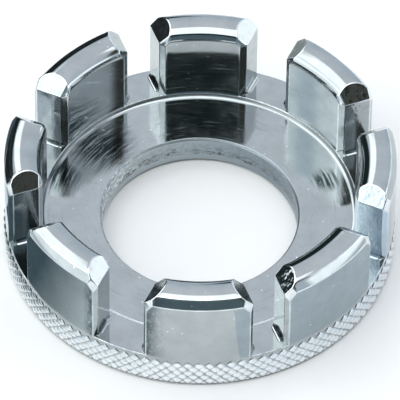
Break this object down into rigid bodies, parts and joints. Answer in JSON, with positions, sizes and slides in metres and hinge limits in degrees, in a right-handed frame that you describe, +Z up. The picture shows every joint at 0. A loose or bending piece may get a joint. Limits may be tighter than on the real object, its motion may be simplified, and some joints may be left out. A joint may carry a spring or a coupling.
{
  "type": "spoke wrench",
  "caption": "Round spoke wrench: a chrome-plated steel ring with a knurled rim, a central bore and upright teeth, between which slots of graded widths grip spoke nipples.",
  "frame": {"origin": "on the ring's axis, in the plane of the flat bottom face", "axes": "+Z up along the ring's axis, from the bottom face to the tops of the teeth; +X through the middle of the tooth at the right of the picture, +Y through the middle of the rear tooth, so the picture's front tooth is at -Y"},
  "size_m": [0.05, 0.05, 0.0157],
  "materials": {
    "chrome_plate": "bright chrome plate over turned, milled and knurled steel: polished teeth, turned pocket floor with fine circular marks, matt bore"
  },
  "bodies": {
    "root": {"wrench_ring": "chrome_plate"}
  },
  "joints": []
}
